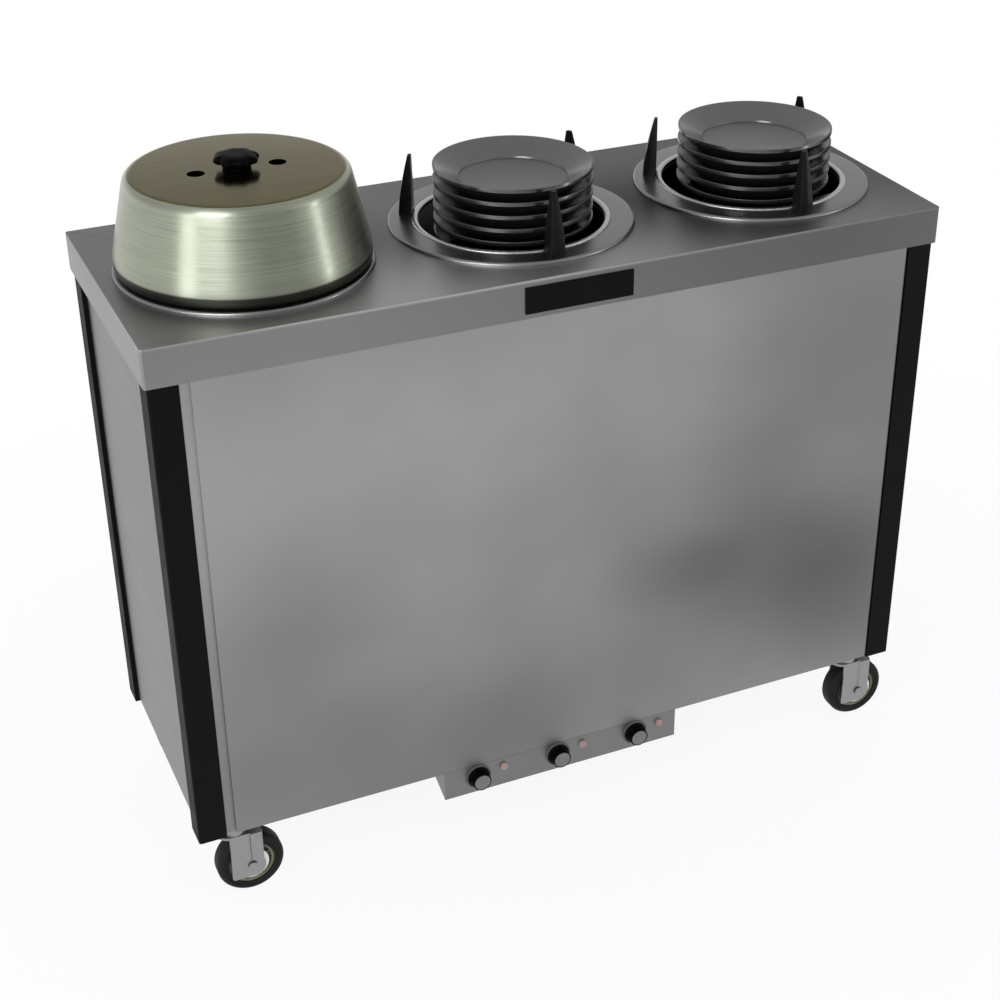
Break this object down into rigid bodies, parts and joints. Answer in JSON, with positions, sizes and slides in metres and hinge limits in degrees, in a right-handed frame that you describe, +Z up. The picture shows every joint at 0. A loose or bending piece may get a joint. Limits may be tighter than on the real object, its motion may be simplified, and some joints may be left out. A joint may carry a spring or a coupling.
{
  "type": "plate dispenser",
  "caption": "Mobile heated plate dispenser: a steel cabinet on swivel casters with spring-loaded silos, upright plate guides, stacked plates and a lift-off domed cover.",
  "frame": {"origin": "on the floor under the middle of the whole object's outline", "axes": "+X along the cabinet to the right as seen from the control side, +Y to the rear, +Z up"},
  "size_m": [1.198, 0.464, 1.08],
  "materials": {
    "cabinet_steel": "brushed stainless steel sheet",
    "ring_steel": "polished stainless steel",
    "cover_steel": "spun stainless steel with circular brushing",
    "zinc_steel": "zinc plated pressed steel",
    "spring_steel": "oiled spring wire",
    "carriage_aluminium": "spun aluminium",
    "bumper_rubber": "moulded black rubber, satin",
    "guide_plastic": "moulded black plastic, satin",
    "knob_plastic": "moulded black plastic",
    "name_plastic": "bare black plate",
    "dial_grey": "satin grey",
    "lamp_lens": "pale red lens",
    "thermostat_plastic": "moulded phenolic",
    "heater_steel": "heat-stained sheath",
    "plate_glaze": "dark grey glaze",
    "hub_plastic": "moulded grey plastic",
    "tyre_rubber": "moulded black rubber"
  },
  "bodies": {
    "cabinet": {"deck": "cabinet_steel", "front_panel": "cabinet_steel", "rear_panel": "cabinet_steel", "left_end_panel": "cabinet_steel", "right_end_panel": "cabinet_steel", "base_pan": "zinc_steel", "corner_posts": "cabinet_steel", "corner_bumpers": "bumper_rubber", "name_plate": "name_plastic", "control_box": "cabinet_steel", "control_box_cover": "cabinet_steel", "dial_bezels": "dial_grey", "thermostats": "thermostat_plastic", "lamps": "lamp_lens", "heaters": "heater_steel", "cord_gland": "knob_plastic", "guide_posts": "zinc_steel", "silo_left": "ring_steel", "silo_middle": "ring_steel", "silo_right": "ring_steel", "well_ring_left": "ring_steel", "well_ring_middle": "ring_steel", "well_ring_right": "ring_steel", "plate_guides_left": "guide_plastic", "plate_guides_middle": "guide_plastic", "plate_guides_right": "guide_plastic", "spring_left": "spring_steel", "spring_middle": "spring_steel", "spring_right": "spring_steel", "caster_plates": "zinc_steel", "caster_bolts": "zinc_steel"},
    "carriage_left": {"carriage_left": "carriage_aluminium", "plates_left": "plate_glaze"},
    "carriage_middle": {"carriage_middle": "carriage_aluminium", "plates_middle": "plate_glaze"},
    "carriage_right": {"carriage_right": "carriage_aluminium", "plates_right": "plate_glaze"},
    "cover": {"cover_shell": "cover_steel", "cover_knob": "knob_plastic", "cover_stud": "zinc_steel"},
    "control_knob_left": {"control_knob_left": "knob_plastic"},
    "control_knob_middle": {"control_knob_middle": "knob_plastic"},
    "control_knob_right": {"control_knob_right": "knob_plastic"},
    "fork_front_left": {"fork_front_left": "zinc_steel", "axle_front_left": "zinc_steel"},
    "wheel_front_left": {"hub_front_left": "hub_plastic", "tyre_front_left": "tyre_rubber"},
    "fork_front_right": {"fork_front_right": "zinc_steel", "axle_front_right": "zinc_steel"},
    "wheel_front_right": {"hub_front_right": "hub_plastic", "tyre_front_right": "tyre_rubber"},
    "fork_rear_left": {"fork_rear_left": "zinc_steel", "axle_rear_left": "zinc_steel"},
    "wheel_rear_left": {"hub_rear_left": "hub_plastic", "tyre_rear_left": "tyre_rubber"},
    "fork_rear_right": {"fork_rear_right": "zinc_steel", "axle_rear_right": "zinc_steel"},
    "wheel_rear_right": {"hub_rear_right": "hub_plastic", "tyre_rear_right": "tyre_rubber"}
  },
  "joints": [
    {"name": "carriage_left_slide", "type": "slide", "parent": "cabinet", "child": "carriage_left", "axis": [0, 0, 1], "range_m": [-0.32, 0], "stiffness_N_per_m": 305, "springref_m": 0.25, "deforming": ["spring_left"]},
    {"name": "carriage_middle_slide", "type": "slide", "parent": "cabinet", "child": "carriage_middle", "axis": [0, 0, 1], "range_m": [-0.32, 0], "stiffness_N_per_m": 305, "springref_m": 0.25, "deforming": ["spring_middle"]},
    {"name": "carriage_right_slide", "type": "slide", "parent": "cabinet", "child": "carriage_right", "axis": [0, 0, 1], "range_m": [-0.32, 0], "stiffness_N_per_m": 305, "springref_m": 0.25, "deforming": ["spring_right"]},
    {"name": "cover_lift", "type": "slide", "parent": "cabinet", "child": "cover", "axis": [0, 0, 1], "range_m": [0, 0.15]},
    {"name": "control_knob_left_turn", "type": "hinge", "parent": "cabinet", "child": "control_knob_left", "pos_m": [-0.159, -0.214, 0.1145], "axis": [0, 1, 0], "range_deg": [0, 300]},
    {"name": "control_knob_middle_turn", "type": "hinge", "parent": "cabinet", "child": "control_knob_middle", "pos_m": [-0.0245, -0.214, 0.1145], "axis": [0, 1, 0], "range_deg": [0, 300]},
    {"name": "control_knob_right_turn", "type": "hinge", "parent": "cabinet", "child": "control_knob_right", "pos_m": [0.11, -0.214, 0.1145], "axis": [0, 1, 0], "range_deg": [0, 300]},
    {"name": "swivel_front_left", "type": "hinge", "parent": "cabinet", "child": "fork_front_left", "pos_m": [-0.536, -0.173, 0.1225], "axis": [0, 0, 1], "continuous": true},
    {"name": "wheel_front_left_roll", "type": "hinge", "parent": "fork_front_left", "child": "wheel_front_left", "pos_m": [-0.516, -0.173, 0.051], "axis": [0, 1, 0], "continuous": true},
    {"name": "swivel_front_right", "type": "hinge", "parent": "cabinet", "child": "fork_front_right", "pos_m": [0.528, -0.173, 0.1225], "axis": [0, 0, 1], "continuous": true},
    {"name": "wheel_front_right_roll", "type": "hinge", "parent": "fork_front_right", "child": "wheel_front_right", "pos_m": [0.548, -0.173, 0.051], "axis": [0, 1, 0], "continuous": true},
    {"name": "swivel_rear_left", "type": "hinge", "parent": "cabinet", "child": "fork_rear_left", "pos_m": [-0.536, 0.174, 0.1225], "axis": [0, 0, 1], "continuous": true},
    {"name": "wheel_rear_left_roll", "type": "hinge", "parent": "fork_rear_left", "child": "wheel_rear_left", "pos_m": [-0.516, 0.174, 0.051], "axis": [0, 1, 0], "continuous": true},
    {"name": "swivel_rear_right", "type": "hinge", "parent": "cabinet", "child": "fork_rear_right", "pos_m": [0.528, 0.174, 0.1225], "axis": [0, 0, 1], "continuous": true},
    {"name": "wheel_rear_right_roll", "type": "hinge", "parent": "fork_rear_right", "child": "wheel_rear_right", "pos_m": [0.548, 0.174, 0.051], "axis": [0, 1, 0], "continuous": true}
  ]
}
